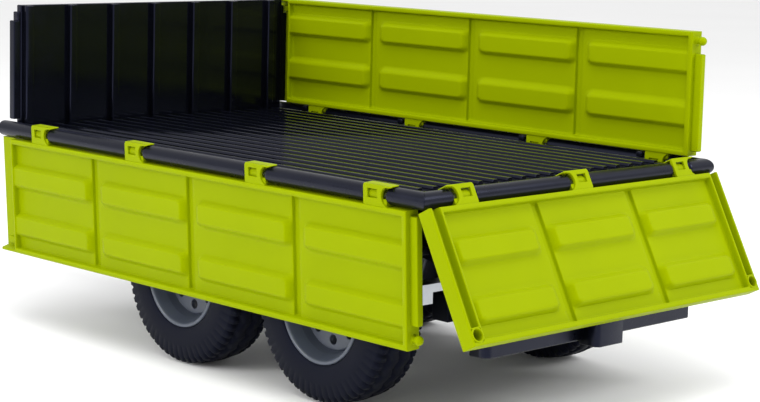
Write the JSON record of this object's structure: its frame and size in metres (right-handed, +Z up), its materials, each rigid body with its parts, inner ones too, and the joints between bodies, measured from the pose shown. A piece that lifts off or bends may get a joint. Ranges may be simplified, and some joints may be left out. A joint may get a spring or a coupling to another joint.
{
  "type": "tipping farm trailer",
  "caption": "Toy-scale tandem-axle tipping farm trailer with fold-down side walls and tailgate, ribbed floor and headboard, rocking bogie, telescopic ram and drawbar.",
  "frame": {"origin": "bottom centre of the whole trailer's box, on the floor it stands on", "axes": "+X towards the tailgate, +Y towards the right-hand side wall, +Z up"},
  "size_m": [0.3916, 0.1676, 0.1403],
  "materials": {
    "green_wall": "semi-gloss moulded",
    "gloss_black": "glossy moulded",
    "chassis_black": "satin moulded",
    "tyre": "matt rubber",
    "grey_rim": "satin moulded",
    "steel": "satin"
  },
  "bodies": {
    "chassis": {"chassis_rail_left": "chassis_black", "chassis_rail_right": "chassis_black", "tipping_shaft": "steel", "front_cross_member": "chassis_black", "cross_members": "chassis_black", "bed_rests": "chassis_black", "bogie_hangers": "chassis_black", "bogie_pin": "steel", "ram_pin": "steel", "ram_brackets": "chassis_black", "drawbar": "chassis_black", "towing_eye": "chassis_black", "drawbar_braces": "chassis_black", "stand_pin": "steel", "spacer_sleeves": "steel", "rear_cross_member": "chassis_black", "bumper_brackets": "chassis_black", "rear_bumper": "chassis_black", "rear_coupling": "chassis_black"},
    "front_left_wheel": {"front_left_tyre": "tyre", "front_left_rim": "grey_rim", "front_left_nuts": "steel"},
    "front_right_wheel": {"front_right_tyre": "tyre", "front_right_rim": "grey_rim", "front_right_nuts": "steel"},
    "rear_left_wheel": {"rear_left_tyre": "tyre", "rear_left_rim": "grey_rim", "rear_left_nuts": "steel"},
    "rear_right_wheel": {"rear_right_tyre": "tyre", "rear_right_rim": "grey_rim", "rear_right_nuts": "steel"},
    "bogie": {"bogie_beam_left": "chassis_black", "bogie_beam_right": "chassis_black", "front_axle": "chassis_black", "rear_axle": "chassis_black", "axle_nuts": "steel"},
    "bed": {"bed_floor": "gloss_black", "bed_sill_left": "chassis_black", "bed_sill_right": "chassis_black", "bed_bearers": "chassis_black", "headboard": "gloss_black", "headboard_posts": "chassis_black", "headboard_bolts": "steel", "left_hinge_rail": "gloss_black", "right_hinge_rail": "gloss_black", "rear_hinge_rail": "gloss_black", "left_hinge_rod": "steel", "right_hinge_rod": "steel", "rail_corners": "gloss_black", "ram_cup": "chassis_black"},
    "left_side": {"left_side": "green_wall"},
    "right_side": {"right_side": "green_wall"},
    "tailgate_rod": {"rear_hinge_rod": "steel"},
    "tailgate": {"tailgate": "green_wall"},
    "ram_barrel": {"ram_barrel": "steel"},
    "ram_stage_1": {"ram_stage_1": "steel"},
    "ram_stage_2": {"ram_stage_2": "steel"},
    "ram_rod": {"ram_rod": "steel"},
    "stand": {"stand_leg": "chassis_black", "stand_foot": "chassis_black"}
  },
  "joints": [
    {"name": "bogie_rock", "type": "hinge", "parent": "chassis", "child": "bogie", "pos_m": [0.06355, 0, 0.0482], "axis": [0, 1, 0], "range_deg": [-8, 8]},
    {"name": "front_left_wheel_spin", "type": "hinge", "parent": "bogie", "child": "front_left_wheel", "pos_m": [0.02184, 0, 0.0362], "axis": [0, 1, 0], "continuous": true},
    {"name": "front_right_wheel_spin", "type": "hinge", "parent": "bogie", "child": "front_right_wheel", "pos_m": [0.02184, 0, 0.0362], "axis": [0, 1, 0], "continuous": true},
    {"name": "rear_left_wheel_spin", "type": "hinge", "parent": "bogie", "child": "rear_left_wheel", "pos_m": [0.10525, 0, 0.0362], "axis": [0, 1, 0], "continuous": true},
    {"name": "rear_right_wheel_spin", "type": "hinge", "parent": "bogie", "child": "rear_right_wheel", "pos_m": [0.10525, 0, 0.0362], "axis": [0, 1, 0], "continuous": true},
    {"name": "bed_tip", "type": "hinge", "parent": "chassis", "child": "bed", "pos_m": [0.14625, 0, 0.0762], "axis": [0, 1, 0], "range_deg": [0, 45]},
    {"name": "left_side_fold", "type": "hinge", "parent": "bed", "child": "left_side", "pos_m": [0.03769, -0.08, 0.0862], "axis": [-1, 0, 0], "range_deg": [0, 183]},
    {"name": "right_side_fold", "type": "hinge", "parent": "bed", "child": "right_side", "pos_m": [0.03769, 0.08, 0.0862], "axis": [-1, 0, 0], "range_deg": [0, 183]},
    {"name": "tailgate_follow", "type": "hinge", "parent": "bed", "child": "tailgate_rod", "pos_m": [0.16714, 0, 0.0862], "axis": [0, -1, 0], "range_deg": [0, 72]},
    {"name": "tailgate_fold", "type": "hinge", "parent": "tailgate_rod", "child": "tailgate", "pos_m": [0.16714, 0, 0.0862], "axis": [0, 1, 0], "range_deg": [-152.4, 0]},
    {"name": "ram_swing", "type": "hinge", "parent": "chassis", "child": "ram_barrel", "pos_m": [0.03674, 0, 0.0322], "axis": [0, 1, 0], "range_deg": [0, 22.5]},
    {"name": "ram_slide_1", "type": "slide", "parent": "ram_barrel", "child": "ram_stage_1", "axis": [-0.1897, 0, 0.9818], "range_m": [0, 0.02844]},
    {"name": "ram_slide_2", "type": "slide", "parent": "ram_stage_1", "child": "ram_stage_2", "axis": [-0.1897, 0, 0.9818], "range_m": [0, 0.02844]},
    {"name": "ram_slide_3", "type": "slide", "parent": "ram_stage_2", "child": "ram_rod", "axis": [-0.1897, 0, 0.9818], "range_m": [0, 0.02844]},
    {"name": "stand_fold", "type": "hinge", "parent": "chassis", "child": "stand", "pos_m": [-0.06175, 0, 0.0602], "axis": [0, -1, 0], "range_deg": [0, 90]}
  ],
  "couplings": [
    {"joint": "ram_swing", "follows": "bed_tip", "ratio": 0.5},
    {"joint": "tailgate_follow", "follows": "bed_tip", "ratio": 1.6},
    {"joint": "ram_slide_1", "follows": "bed_tip", "m_per_rad": 0.036187},
    {"joint": "ram_slide_2", "follows": "bed_tip", "m_per_rad": 0.036187},
    {"joint": "ram_slide_3", "follows": "bed_tip", "m_per_rad": 0.036187}
  ]
}
